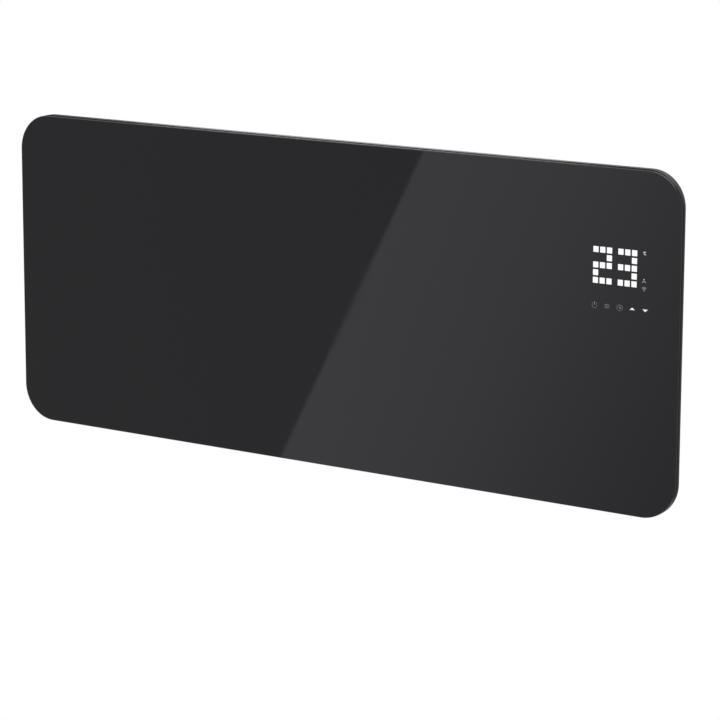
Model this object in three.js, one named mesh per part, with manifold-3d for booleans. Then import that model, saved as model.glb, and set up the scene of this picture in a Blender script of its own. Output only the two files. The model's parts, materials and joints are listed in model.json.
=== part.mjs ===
// Glass panel heater on its wall bracket, in millimetres: X to the right as seen from the front,
// Y towards the wall, Z up. The origin is the centre of the bracket's back face, on the wall.
import * as THREE from 'three';
import { mergeVertices } from 'three/addons/utils/BufferGeometryUtils.js';
import Module from 'manifold-3d';

const wasm = await Module();
wasm.setup();

// Small clearances shared by all the pieces
const fitGap = 0.3;
const runGap = 0.4;
const overrun = 2;
const cornerSteps = 16;
const roundSides = 16;

// Glass front
const glassWidth = 900;
const glassHeight = 370;
const glassRadius = 42;
const glassThickness = 4;
const glassChamfer = 1;

// Adhesive that holds the glass on the tray
const beadThickness = 2;
const beadWidth = 8;
const beadInset = 5;

// Steel tray behind the glass, whose wall is the visible rim
const rimInsetSide = 4.2;
const rimRiseTop = 0.7;
const rimRadius = 39.4;
const boardClearance = 2.2;
const traySheet = 1;
const trayEdge = 0.6;
const bossRadius = 4;
const bossFloor = 1.5;
const standoffHeight = 6;
const standoffRadius = 4;

// Rear cover
const bodyDepth = 70;
const bodyInsetSide = 60;
const bodyInsetTop = 20;
const bodyRadius = 30;
const bodyEdge = 8;
const bodyEdgeSteps = 3;
const coverSheet = 1.2;
const wallGap = 14;

// Air inlets cut in the rear cover
const inletLength = 26;
const inletWidth = 5;
const inletPitch = 34;
const inletRowPitch = 12;
const inletRows = 2;
const ventLength = 30;
const ventWidth = 4;
const ventPitch = 12;
const ventRise = 14;

// Outlet grille in the top of the rear cover
const grilleSideGap = 3.4;
const grilleDrop = 6;
const grilleFlange = 4;
const grilleLip = 1.2;
const grilleRows = 3;
const grilleBays = 12;
const grilleRib = 3;
const grilleEndGap = 25;

// Cover screws
const screwRadius = 1.75;
const screwEndGap = 0.5;
const screwHeadRadius = 3.75;
const screwHeadHeight = 2.4;
const screwSlotWidth = 1;
const screwSlotDepth = 1;
const sideScrewShare = 0.76;

// Wall bracket
const bracketSheet = 2;
const bracketWidth = 440;
const bracketHeight = 220;
const railHeight = 36;
const bracketWeb = 120;
const hookWidth = 20;
const hookTip = 10;
const hookSpan = 320;
const hookGrip = 1;
const liftTravel = 12;
const liftClearance = 2;
const wallHoleRadius = 2.75;
const wallHoleInset = 20;

// Heat shield and the carriers of the heating elements
const shieldSheet = 0.8;
const shieldInsetTop = 20;
const shieldFlange = 12;
const carrierSheet = 1.2;
const carrierFoot = 20;
const carrierBackGap = 9;
const carrierMargin = 22;
const carrierEndGap = 45;
const shieldEndMargin = 20;

// Heating elements
const elementPitch = 60;
const elementRise = 65;
const hubRadius = 6.5;
const finReach = 17;
const finSheet = 1.8;
const finTip = 7;
const finAngle = Math.PI / 4;
const sheathRadius = 4;
const neckRadius = 6;
const collarRadius = 8;
const collarLength = 4;
const socketDepth = 10;
const tipRadius = 4.5;
const tipLength = 8;
const bladeWidth = 6.3;
const bladeSheet = 0.8;
const bladeLength = 7;
const profileEndGap = 8;

// Thermal cut-out and thermal fuse on the shield
const cutoutRadius = 8;
const cutoutHeight = 9;
const cutoutPlate = 24;
const cutoutPlateSheet = 1;
const cutoutRise = 46;
const fuseRadius = 2;
const fuseLength = 12;
const fuseLeadRadius = 0.6;
const fuseLeadLength = 12;
const fuseSaddle = 3;
const cutoutShare = 0.55;
const fuseShare = 0.78;

// Air temperature sensor
const sensorRadius = 2.5;
const sensorLength = 18;
const clipWall = 1.5;
const clipFoot = 12;
const clipStem = 9;

// Control box
const boxWidth = 120;
const boxDepth = 40;
const boxWall = 1.8;
const boxSideGap = 25;
const boxBottomGap = 25;
const boxDisplayGap = 21.8;
const boxNotch = 8;
const topNotchShares = [1 / 4, 1 / 2, 3 / 4];
const boxPost = 5;
const boxPostRadius = 3;
const lidLip = 3;
const boardSheet = 1.6;
const boardMargin = 3;
const relayWidth = 19;
const relayHeight = 15.5;
const relayRise = 20;
const relayInset = 15;
const relayShares = [2 / 7, 5 / 7];
const capacitorWidth = 26;
const capacitorSheet = 10;
const capacitorRise = 19;
const moduleWidth = 25;
const moduleHeight = 17;
const moduleRise = 3;
const terminalWidth = 30;
const terminalHeight = 12;
const terminalRise = 14;
const terminalPoles = 3;
const terminalHoleRadius = 2;
const partSpacing = 6;

// Display and touch keys behind the glass
const displayInset = 74.3;
const displayRise = 67.8;
const contentGap = 0.48;
const holderFlange = 5;
const holderSheet = 1.5;
const holderWall = 1.4;
const holderLedge = 1;
const holderBackGap = 0.5;
const cellPitch = 8.23;
const cellSize = 6.5;
const cellColumns = 3;
const cellRows = 5;
const digitPitch = 30.17;
const digitCount = 2;
const digitsLeft = 28.1;
const digitsTop = 29.4;
const gridMargin = 3;
const lightGridDepth = 4.7;
const keyPitch = 15.3;
const keysLeft = 28.6;
const keysDrop = 30.1;
const keyNames = ['power', 'mode', 'timer', 'up', 'down'];
const touchPadRadius = 3;

// Mains rocker switch in the side of the rear cover
const switchRise = 60;
const rockerHalf = 8.2;
const rockerRise = 4;
const rockerValley = 2.4;
const rockerFootHalf = 6;
const rockerFoot = 3;
const rockerWidth = 10;
const rockerTilt = 8 * Math.PI / 180;
const pivotDepth = 1.5;
const pivotPinRadius = 1.5;
const pivotPinLength = 0.6;
const pivotPinGap = 0.1;
const switchWall = 0.9;
const switchFlange = 2;
const switchFlangeSheet = 2;
const switchBodyDepth = 14;
const switchFloor = 5;
const bladeShare = 1 / 4;

// Cord gland in the underside of the rear cover
const glandFlangeRadius = 10;
const glandFlangeLength = 4;
const glandNeckRadius = 7;
const glandNeckLength = 12;
const glandBoreRadius = 3.8;
const glandNutRadius = 11;
const glandNutLength = 5;
const nutSides = 6;

// Wires
const wireRadius = 1.2;
const cableRadius = 1.8;
const wireSides = 6;
const wireSteps = 14;
const wireRun = 8;
const wireBend = 6;
const bendShare = 1 / 3;
const earthScrewRadius = 1.6;
const earthHeadRadius = 3.5;
const earthHeadHeight = 2;
const earthScrewLength = 5;

// Places that follow from the sizes above
const coverBackY = -wallGap;
const glassFrontY = coverBackY - bodyDepth;
const glassBackY = glassFrontY + glassThickness;
const trayFrontY = glassBackY + beadThickness;
const trayBackY = trayFrontY + traySheet;
const displayBoardFrontY = glassBackY + fitGap + lightGridDepth;
const displayBoardBackY = displayBoardFrontY + boardSheet;
const rimBackY = displayBoardBackY + boardClearance + coverSheet;
const flangeFrontY = rimBackY - coverSheet;
const coverInnerY = coverBackY - coverSheet;
const rimWidth = glassWidth - 2 * rimInsetSide;
const rimHeight = glassHeight + 2 * rimRiseTop;
const bodyWidth = glassWidth - 2 * bodyInsetSide;
const bodyHeight = glassHeight - 2 * bodyInsetTop;
const bodySide = bodyWidth / 2;
const bodyTop = bodyHeight / 2;
const innerSide = bodySide - coverSheet;
const innerTop = bodyTop - coverSheet;
const screwLength = rimBackY - trayBackY - bossFloor - screwEndGap;
const keysRight = (keyNames.length - 1) * keyPitch - keysLeft;
const digitsRight = (digitCount - 1) * digitPitch + (cellColumns - 1) * cellPitch - digitsLeft;
const gridReach = cellPitch / 2 + gridMargin;
const keyReach = Math.max(keysLeft, keysRight, keysDrop) + touchPadRadius;
const digitReach = Math.max(digitsLeft, digitsRight, digitsTop) + gridReach;
const boardHalf = Math.max(keyReach, digitReach) + contentGap + holderLedge;
const holderHalf = boardHalf + fitGap + holderWall;
const windowSize = 2 * (holderHalf + fitGap);
const displayX = glassWidth / 2 - displayInset;
const displayZ = displayRise;
const displayBottom = displayZ - windowSize / 2 - holderFlange;
const holderFrontY = glassBackY + fitGap;
const holderBackY = flangeFrontY - holderBackGap;
const boxRight = innerSide - boxSideGap;
const boxLeft = boxRight - boxWidth;
const boxBottom = -innerTop + boxBottomGap;
const boxTop = displayBottom - boxDisplayGap;
const boxHeight = boxTop - boxBottom;
const boxFrontY = trayBackY;
const boxBackY = boxFrontY + boxDepth;
const carrierLeftX = -innerSide + carrierEndGap;
const carrierRightX = boxLeft - carrierFoot - tipLength - overrun;
const shieldFrontY = trayBackY + standoffHeight;
const shieldBackY = shieldFrontY + shieldSheet;
const shieldLeft = carrierLeftX - shieldEndMargin;
const shieldRight = carrierRightX + carrierFoot;
const shieldTop = bodyTop - shieldInsetTop;
const elementY = (shieldBackY + coverInnerY) / 2;
const elementLowerZ = -innerTop + elementRise;
const elementUpperZ = elementLowerZ + elementPitch;
const bodyMiddleY = (rimBackY + coverInnerY) / 2;
const grilleWidth = coverInnerY - rimBackY - 2 * (grilleFlange + grilleSideGap);
const cutoutX = shieldLeft + (shieldRight - shieldLeft) * cutoutShare;
const fuseX = shieldLeft + (shieldRight - shieldLeft) * fuseShare;
const cutoutZ = elementUpperZ + cutoutRise;
const boardBackY = boxFrontY + boxWall + boxPost + boardSheet;
const glandX = (boxLeft + boxRight) / 2;
const switchZ = switchRise;
const switchFaceX = bodySide + switchFlangeSheet;
const switchBackX = bodySide - switchBodyDepth;
const pivotX = switchFaceX - pivotDepth;

// Finishes, one new material for each piece
const finish = (color, roughness, metalness) => () =>
  new THREE.MeshStandardMaterial({ color, roughness, metalness, flatShading: true });
const blackGlass = finish(0x060607, 0.05, 0);
const blackSteel = finish(0x1c1c1e, 0.45, 0.3);
const darkSteel = finish(0x26272a, 0.6, 0.3);
const zincSteel = finish(0xb4b8bc, 0.35, 0.9);
const aluminium = finish(0xc9ccd0, 0.35, 1);
const sheathSteel = finish(0x6f706c, 0.5, 0.9);
const ceramic = finish(0xe8e4da, 0.6, 0);
const silicone = finish(0x141414, 0.7, 0);
const blackPlastic = finish(0x151515, 0.5, 0);
const whitePlastic = finish(0xdedcd4, 0.5, 0);
const greenBoard = finish(0x1f5b34, 0.5, 0);
const blackPart = finish(0x1b1b1d, 0.45, 0);
const bluePart = finish(0x2a4f9c, 0.45, 0);
const foamPad = finish(0x3a3a3c, 0.8, 0);
const redWire = finish(0x9c1f1b, 0.55, 0);
const whiteWire = finish(0xd8d6cf, 0.55, 0);
const earthWire = finish(0x6f9b2a, 0.55, 0);

const model = new THREE.Group();
const bracketGroup = new THREE.Group();
const heaterGroup = new THREE.Group();
const rockerGroup = new THREE.Group();
model.add(bracketGroup, heaterGroup, rockerGroup);

function addPiece(group, name, geometry, material) {
  const mesh = new THREE.Mesh(geometry, material());
  mesh.name = name;
  group.add(mesh);
  return mesh;
}

// Closed geometry to solid and back
function solid(geometry) {
  const bare = new THREE.BufferGeometry();
  bare.setAttribute('position', geometry.getAttribute('position').clone());
  if (geometry.index) bare.setIndex(geometry.index.clone());
  const merged = mergeVertices(bare);
  const vertProperties = new Float32Array(merged.getAttribute('position').array);
  const triVerts = new Uint32Array(merged.index.array);
  return new wasm.Manifold(new wasm.Mesh({ numProp: 3, vertProperties, triVerts }));
}

function geometryOf(body) {
  const { vertProperties, triVerts } = body.getMesh();
  const geometry = new THREE.BufferGeometry();
  geometry.setAttribute('position', new THREE.BufferAttribute(vertProperties, 3));
  geometry.setIndex(new THREE.BufferAttribute(triVerts, 1));
  geometry.computeVertexNormals();
  return geometry;
}

function joined(geometries) {
  return geometries.map(solid).reduce((whole, piece) => whole.add(piece));
}

function shaped(added, removed = []) {
  const whole = joined(added);
  return geometryOf(removed.length ? whole.subtract(joined(removed)) : whole);
}

// Basic shapes, given by their limits
function block([xLow, xHigh], [yLow, yHigh], [zLow, zHigh]) {
  const geometry = new THREE.BoxGeometry(xHigh - xLow, yHigh - yLow, zHigh - zLow);
  return geometry.translate((xLow + xHigh) / 2, (yLow + yHigh) / 2, (zLow + zHigh) / 2);
}

function around(middle, size) {
  return [middle - size / 2, middle + size / 2];
}

function ordered(a, b) {
  return [Math.min(a, b), Math.max(a, b)];
}

function rod(axis, radius, [low, high], [first, second], sides = roundSides) {
  const geometry = new THREE.CylinderGeometry(radius, radius, high - low, sides);
  const middle = (low + high) / 2;
  if (axis === 'x') return geometry.rotateZ(Math.PI / 2).translate(middle, first, second);
  if (axis === 'z') return geometry.rotateX(Math.PI / 2).translate(first, second, middle);
  return geometry.translate(first, middle, second);
}

// Rounded rectangle in the XZ plane, skinned through rings of [y, inset]
function roundedPlate(width, height, radius, rings) {
  const outline = [];
  for (let corner = 0; corner < 4; corner++) {
    for (let step = 0; step <= cornerSteps; step++) {
      const angle = (corner + step / cornerSteps) * Math.PI / 2;
      const sideX = corner === 0 || corner === 3 ? 1 : -1;
      const sideZ = corner < 2 ? 1 : -1;
      outline.push({ angle, x: sideX * (width / 2 - radius), z: sideZ * (height / 2 - radius) });
    }
  }
  const positions = [];
  for (const [y, inset] of rings) {
    for (const point of outline) {
      const reach = radius - inset;
      positions.push(point.x + reach * Math.cos(point.angle), y, point.z + reach * Math.sin(point.angle));
    }
  }
  const frontCentre = positions.length / 3;
  const backCentre = frontCentre + 1;
  positions.push(0, rings[0][0], 0, 0, rings[rings.length - 1][0], 0);
  const count = outline.length;
  const index = [];
  for (let i = 0; i < count; i++) {
    const next = (i + 1) % count;
    const last = (rings.length - 1) * count;
    index.push(frontCentre, i, next, backCentre, last + next, last + i);
    for (let ring = 0; ring < last; ring += count) {
      index.push(ring + i, ring + count + i, ring + next);
      index.push(ring + next, ring + count + i, ring + count + next);
    }
  }
  const geometry = new THREE.BufferGeometry();
  geometry.setAttribute('position', new THREE.Float32BufferAttribute(positions, 3));
  geometry.setIndex(index);
  geometry.computeVertexNormals();
  return geometry;
}

function insetPlate(width, height, radius, inset, [yLow, yHigh]) {
  return roundedPlate(width - 2 * inset, height - 2 * inset, radius - inset, [[yLow, 0], [yHigh, 0]]);
}

// Glass and adhesive
function makeGlass() {
  const rings = [
    [glassFrontY, glassChamfer],
    [glassFrontY + glassChamfer, 0],
    [glassBackY - glassChamfer, 0],
    [glassBackY, glassChamfer],
  ];
  addPiece(heaterGroup, 'glass_panel', roundedPlate(glassWidth, glassHeight, glassRadius, rings), blackGlass);
}

function makeBead() {
  const depth = [glassBackY, trayFrontY];
  const hole = [glassBackY - overrun, trayFrontY + overrun];
  const outer = insetPlate(rimWidth, rimHeight, rimRadius, beadInset, depth);
  const inner = insetPlate(rimWidth, rimHeight, rimRadius, beadInset + beadWidth, hole);
  addPiece(heaterGroup, 'bonding_bead', shaped([outer], [inner]), silicone);
}

// Places where the rear cover is screwed to the tray
function coverScrewPlaces() {
  const sideX = (bodySide + rimWidth / 2) / 2;
  const sideZ = rimHeight / 2 * sideScrewShare;
  const topZ = (bodyTop + rimHeight / 2) / 2;
  return [[sideX, sideZ], [sideX, -sideZ], [-sideX, sideZ], [-sideX, -sideZ], [0, topZ], [0, -topZ]];
}

function standoffPlaces() {
  const places = [];
  for (const x of [shieldLeft + shieldEndMargin / 2, shieldRight - shieldEndMargin / 2]) {
    for (const z of [shieldTop - shieldEndMargin, shieldEndMargin - shieldTop]) {
      places.push([x, z]);
    }
  }
  return places;
}

function earthPlace() {
  return [boxLeft - carrierFoot, boxBottom - boxBottomGap / 2];
}

function windowBlock(depth) {
  return block(around(displayX, windowSize), depth, around(displayZ, windowSize));
}

// Tray: front plate and rim wall in one sheet, with bosses and standoffs on its back
function makeTray() {
  const outer = roundedPlate(rimWidth, rimHeight, rimRadius, [
    [trayFrontY, trayEdge],
    [trayFrontY + trayEdge, 0],
    [rimBackY, 0],
  ]);
  const hollow = insetPlate(rimWidth, rimHeight, rimRadius, traySheet, [trayBackY, rimBackY + overrun]);
  const pan = solid(outer).subtract(solid(hollow));
  const bossHoleRadius = screwRadius + fitGap;
  const pillars = [];
  const holes = [windowBlock([trayFrontY - overrun, trayBackY + overrun])];
  for (const place of coverScrewPlaces()) {
    pillars.push(rod('y', bossRadius, [trayFrontY + traySheet / 2, flangeFrontY], place));
    holes.push(rod('y', bossHoleRadius, [trayBackY + bossFloor, flangeFrontY + overrun], place));
  }
  for (const place of standoffPlaces()) {
    pillars.push(rod('y', standoffRadius, [trayFrontY + traySheet / 2, shieldFrontY], place));
  }
  const earthBossBackY = trayBackY + earthScrewLength;
  const earthHole = [trayBackY, earthBossBackY + overrun];
  pillars.push(rod('y', bossRadius, [trayFrontY + traySheet / 2, earthBossBackY], earthPlace()));
  holes.push(rod('y', earthScrewRadius + fitGap, earthHole, earthPlace()));
  const tray = pan.add(joined(pillars)).subtract(joined(holes));
  addPiece(heaterGroup, 'front_tray', geometryOf(tray), blackSteel);
}

// Rear cover: flange inside the rim and a deep pan with a rounded back edge
function coverRings(frontY, backY, wall) {
  const rings = [[frontY, wall]];
  const edge = bodyEdge - wall;
  for (let step = 0; step <= bodyEdgeSteps; step++) {
    const angle = step / bodyEdgeSteps * Math.PI / 2;
    rings.push([backY - edge + edge * Math.sin(angle), wall + edge * (1 - Math.cos(angle))]);
  }
  return rings;
}

function hookPlaces() {
  const places = [];
  for (const x of [-hookSpan / 2, hookSpan / 2]) {
    for (const z of [bracketHeight / 2 - railHeight / 2, railHeight / 2 - bracketHeight / 2]) {
      places.push([x, z]);
    }
  }
  return places;
}

function hookSlots() {
  return hookPlaces().map(([x, z]) => {
    const bottom = z - bracketSheet / 2 - liftTravel - liftClearance;
    const top = z + bracketSheet / 2 + fitGap;
    const width = around(x, hookWidth + 2 * liftClearance);
    return block(width, [coverInnerY - overrun, coverBackY + overrun], [bottom, top]);
  });
}

function bottomInlets() {
  const slots = [];
  const depth = [-bodyTop - overrun, -innerTop + overrun];
  const space = carrierRightX - carrierLeftX;
  const count = Math.floor(space / inletPitch);
  const firstX = (carrierLeftX + carrierRightX) / 2 - (count - 1) * inletPitch / 2;
  for (let row = 0; row < inletRows; row++) {
    const y = bodyMiddleY + (row - (inletRows - 1) / 2) * inletRowPitch;
    for (let i = 0; i < count; i++) {
      const x = firstX + i * inletPitch;
      slots.push(block(around(x, inletLength), around(y, inletWidth), depth));
    }
  }
  return slots;
}

function backVents() {
  const slots = [];
  const low = -bodyTop + bodyEdge + ventRise;
  const depth = [coverInnerY - overrun, coverBackY + overrun];
  const slotBottoms = hookSpan / 2 - hookWidth;
  const count = 2 * Math.floor(slotBottoms / ventPitch) - 1;
  for (let i = 0; i < count; i++) {
    const x = (i - (count - 1) / 2) * ventPitch;
    slots.push(block(around(x, ventWidth), depth, [low, low + ventLength]));
  }
  return slots;
}

function grilleSpan() {
  return [carrierLeftX + grilleEndGap, carrierRightX - grilleEndGap];
}

function grilleWindow() {
  return block(grilleSpan(), around(bodyMiddleY, grilleWidth), [innerTop - overrun, bodyTop + overrun]);
}

function switchHalfLength() {
  return rockerHalf * Math.cos(rockerTilt) + rockerRise * Math.sin(rockerTilt) + runGap;
}

function switchBodySize() {
  const length = 2 * (switchHalfLength() + switchWall);
  const width = rockerWidth + 2 * (runGap + switchWall);
  return [width, length];
}

function switchCutout() {
  const [width, length] = switchBodySize();
  const gap = 2 * fitGap;
  const depth = [innerSide - overrun, bodySide + overrun];
  return block(depth, around(bodyMiddleY, width + gap), around(switchZ, length + gap));
}

function makeRearCover() {
  const flange = insetPlate(rimWidth, rimHeight, rimRadius, traySheet + fitGap, [flangeFrontY, rimBackY]);
  const shell = roundedPlate(bodyWidth, bodyHeight, bodyRadius, coverRings(flangeFrontY, coverBackY, 0));
  const hollow = roundedPlate(
    bodyWidth,
    bodyHeight,
    bodyRadius,
    coverRings(flangeFrontY - overrun, coverInnerY, coverSheet),
  );
  const holeDepth = [flangeFrontY - overrun, rimBackY + overrun];
  const screwHoles = coverScrewPlaces().map((place) => rod('y', screwRadius + fitGap, holeDepth, place));
  const glandHoleDepth = [-bodyTop - overrun, -innerTop + overrun];
  const glandHole = rod('z', glandNeckRadius + fitGap, glandHoleDepth, [glandX, bodyMiddleY]);
  const removed = [
    hollow,
    ...hookSlots(),
    ...bottomInlets(),
    ...backVents(),
    ...screwHoles,
    grilleWindow(),
    switchCutout(),
    glandHole,
  ];
  addPiece(heaterGroup, 'rear_cover', shaped([flange, shell], removed), darkSteel);
}

// Outlet grille with rows of long openings
function makeGrille() {
  const [left, right] = grilleSpan();
  const plateWidth = grilleWidth + 2 * grilleFlange;
  const lip = block(
    [left - grilleFlange, right + grilleFlange],
    around(bodyMiddleY, plateWidth),
    [bodyTop, bodyTop + grilleLip],
  );
  const insert = block(
    [left + fitGap, right - fitGap],
    around(bodyMiddleY, grilleWidth - 2 * fitGap),
    [bodyTop - grilleDrop, bodyTop + grilleLip / 2],
  );
  const bayPitch = (right - left - grilleRib) / grilleBays;
  const rowPitch = (grilleWidth - grilleRib) / grilleRows;
  const openings = [];
  for (let row = 0; row < grilleRows; row++) {
    const y = bodyMiddleY + (row - (grilleRows - 1) / 2) * rowPitch;
    for (let bay = 0; bay < grilleBays; bay++) {
      const x = left + grilleRib / 2 + (bay + 1 / 2) * bayPitch;
      openings.push(block(
        around(x, bayPitch - grilleRib),
        around(y, rowPitch - grilleRib),
        [bodyTop - grilleDrop - overrun, bodyTop + grilleLip + overrun],
      ));
    }
  }
  addPiece(heaterGroup, 'outlet_grille', shaped([lip, insert], openings), blackPlastic);
}

function makeCoverScrews() {
  coverScrewPlaces().forEach((place, i) => {
    const shank = rod('y', screwRadius, [rimBackY - screwLength, rimBackY + screwHeadHeight / 2], place);
    const headBackY = rimBackY + screwHeadHeight;
    const head = rod('y', screwHeadRadius, [rimBackY, headBackY], place);
    const slotDepth = [headBackY - screwSlotDepth, headBackY + overrun];
    const slot = block(around(place[0], 2 * screwRadius), slotDepth, around(place[1], screwSlotWidth));
    const cross = block(around(place[0], screwSlotWidth), slotDepth, around(place[1], 2 * screwRadius));
    addPiece(heaterGroup, `cover_screw_${i + 1}`, shaped([shank, head], [slot, cross]), zincSteel);
  });
}

// Wall bracket: two rails on a middle web, with a hook at each rail's end
function bracketHook([x, z]) {
  const tipFrontY = coverInnerY - hookGrip - bracketSheet;
  const width = around(x, hookWidth);
  const web = block(width, [tipFrontY, -bracketSheet / 2], around(z, bracketSheet));
  const tip = block(width, [tipFrontY, tipFrontY + bracketSheet], [z - bracketSheet / 2, z + hookTip]);
  return [web, tip];
}

function wallHolePlaces() {
  const places = [];
  for (const x of [wallHoleInset - bracketWidth / 2, bracketWidth / 2 - wallHoleInset]) {
    for (const z of [bracketHeight / 2 - railHeight / 2, railHeight / 2 - bracketHeight / 2]) {
      places.push([x, z]);
    }
  }
  return places;
}

function makeBracket() {
  const sheet = [-bracketSheet, 0];
  const halfHeight = bracketHeight / 2;
  const rails = [[halfHeight - railHeight, halfHeight], [-halfHeight, railHeight - halfHeight]];
  const plates = rails.map((span) => block(around(0, bracketWidth), sheet, span));
  const web = block(around(0, bracketWeb), sheet, [-halfHeight, halfHeight]);
  const hooks = hookPlaces().flatMap(bracketHook);
  const holeDepth = [-bracketSheet - overrun, overrun];
  const holes = wallHolePlaces().map((place) => rod('y', wallHoleRadius, holeDepth, place));
  addPiece(bracketGroup, 'wall_bracket', shaped([web, ...plates, ...hooks], holes), darkSteel);
}

// Heat shield on the tray's standoffs
function makeShield() {
  const span = [shieldLeft, shieldRight];
  const plate = block(span, [shieldFrontY, shieldBackY], [-shieldTop, shieldTop]);
  const lipDepth = [shieldFrontY, shieldBackY + shieldFlange];
  const upper = block(span, lipDepth, [shieldTop - shieldSheet, shieldTop]);
  const lower = block(span, lipDepth, [-shieldTop, shieldSheet - shieldTop]);
  addPiece(heaterGroup, 'heat_shield', shaped([plate, upper, lower]), zincSteel);
}

// Carriers that hold the element ends above the shield
function makeCarrier(name, plateX, out) {
  const low = elementLowerZ - carrierMargin;
  const high = elementUpperZ + carrierMargin;
  const uprightSpan = ordered(plateX, plateX + out * carrierSheet);
  const footSpan = ordered(plateX, plateX + out * carrierFoot);
  const upright = block(uprightSpan, [shieldBackY, coverInnerY - carrierBackGap], [low, high]);
  const foot = block(footSpan, [shieldBackY, shieldBackY + carrierSheet], [low, high]);
  const holeSpan = around(plateX, 2 * (carrierSheet + overrun));
  const holes = [elementLowerZ, elementUpperZ].map((z) => {
    return rod('x', neckRadius + fitGap, holeSpan, [elementY, z]);
  });
  addPiece(heaterGroup, name, shaped([upright, foot], holes), zincSteel);
}

// Aluminium profile with four fins round the element's sheath
function makeProfile(name, z) {
  const span = [
    carrierLeftX + collarLength + profileEndGap,
    carrierRightX - collarLength - profileEndGap,
  ];
  const hub = rod('x', hubRadius, span, [0, 0]);
  const fins = [hub];
  for (const angle of [finAngle, -finAngle]) {
    const fin = block(span, around(0, 2 * finReach), around(0, finSheet));
    fins.push(fin.rotateX(angle));
    for (const end of [-finReach, finReach]) {
      const tip = block(span, around(end, finSheet), around(0, finTip));
      fins.push(tip.rotateX(angle));
    }
  }
  const bore = rod('x', sheathRadius + fitGap, [span[0] - overrun, span[1] + overrun], [0, 0]);
  const profile = shaped(fins, [bore]);
  addPiece(heaterGroup, name, profile.translate(0, elementY, z), aluminium);
}

function makeSheath(name, z) {
  const span = [
    carrierLeftX + collarLength - socketDepth + fitGap,
    carrierRightX - collarLength + socketDepth - fitGap,
  ];
  addPiece(heaterGroup, name, rod('x', sheathRadius, span, [elementY, z]), sheathSteel);
}

// Ceramic end of an element, with its collar inside the carrier and its blade outside
function bladeEndX(plateX, out) {
  return plateX + out * (carrierSheet + tipLength + bladeLength);
}

function makeInsulator(name, plateX, out, z) {
  const axis = [elementY, z];
  const stretch = (from, to) => ordered(plateX + out * from, plateX + out * to);
  const collar = rod('x', collarRadius, stretch(-collarLength, 0), axis);
  const neck = rod('x', neckRadius, stretch(-collarLength / 2, carrierSheet + tipLength / 2), axis);
  const tip = rod('x', tipRadius, stretch(0, carrierSheet + tipLength), axis);
  const bladeStart = carrierSheet + tipLength / 2;
  const bladeSpan = stretch(bladeStart, carrierSheet + tipLength + bladeLength);
  const blade = block(bladeSpan, around(elementY, bladeWidth), around(z, bladeSheet));
  const socketSpan = stretch(-collarLength - overrun, socketDepth - collarLength);
  const socket = rod('x', sheathRadius + fitGap, socketSpan, axis);
  addPiece(heaterGroup, name, shaped([collar, neck, tip, blade], [socket]), ceramic);
}

function makeElements() {
  makeCarrier('element_carrier_left', carrierLeftX, -1);
  makeCarrier('element_carrier_right', carrierRightX, 1);
  for (const [level, z] of [['lower', elementLowerZ], ['upper', elementUpperZ]]) {
    makeProfile(`fin_profile_${level}`, z);
    makeSheath(`heating_rod_${level}`, z);
    makeInsulator(`insulator_${level}_left`, carrierLeftX, -1, z);
    makeInsulator(`insulator_${level}_right`, carrierRightX, 1, z);
  }
}

// Thermal cut-out and fuse, seated on the back of the shield
function makeCutout() {
  const plateDepth = [shieldBackY, shieldBackY + cutoutPlateSheet];
  const plate = block(around(cutoutX, cutoutPlate), plateDepth, around(cutoutZ, 2 * cutoutRadius));
  const can = rod('y', cutoutRadius, [shieldBackY, shieldBackY + cutoutHeight], [cutoutX, cutoutZ]);
  const bladeDepth = around(shieldBackY + cutoutHeight / 2, bladeSheet);
  const blade = block(around(cutoutX, cutoutPlate), bladeDepth, around(cutoutZ, bladeWidth));
  addPiece(heaterGroup, 'thermal_cutout', shaped([plate, can, blade]), blackPart);
}

function fuseY() {
  return shieldBackY + fuseSaddle;
}

function makeFuse() {
  const axis = [fuseY(), cutoutZ];
  const can = rod('x', fuseRadius, around(fuseX, fuseLength), axis);
  const leads = rod('x', fuseLeadRadius, around(fuseX, fuseLength + 2 * fuseLeadLength), axis);
  const saddleDepth = [shieldBackY, shieldBackY + fuseSaddle];
  const saddle = block(around(fuseX, fuseLength / 2), saddleDepth, around(cutoutZ, 2 * fuseRadius));
  addPiece(heaterGroup, 'thermal_fuse', shaped([can, leads, saddle]), whitePlastic);
}

// Air temperature sensor on a clip above the inlets, at the inner end of the rear cover
function sensorPlace() {
  return [(carrierRightX + shieldRight) / 2, bodyMiddleY];
}

function makeSensor() {
  const [x, y] = sensorPlace();
  const floor = -innerTop;
  const sensorZ = floor + clipStem;
  const foot = block(around(x, clipFoot), around(y, clipFoot), [floor, floor + clipWall]);
  const stem = block(around(x, clipFoot / 2), around(y, clipFoot / 2), [floor, sensorZ + sensorRadius]);
  const bore = rod('y', sensorRadius + fitGap, around(y, clipFoot), [x, sensorZ]);
  const mouth = block(around(x, 2 * sensorRadius), around(y, clipFoot), [sensorZ, sensorZ + clipStem]);
  addPiece(heaterGroup, 'sensor_clip', shaped([foot, stem], [bore, mouth]), whitePlastic);
  const probe = rod('y', sensorRadius, around(y, sensorLength), [x, sensorZ]);
  addPiece(heaterGroup, 'temperature_sensor', probe, blackPart);
}

// Control box with its board
function boxPostPlaces() {
  const inset = boxWall + boardMargin + boxPostRadius;
  const places = [];
  for (const x of [boxLeft + inset, boxRight - inset]) {
    for (const z of [boxBottom + inset, boxTop - inset]) {
      places.push([x, z]);
    }
  }
  return places;
}

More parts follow.
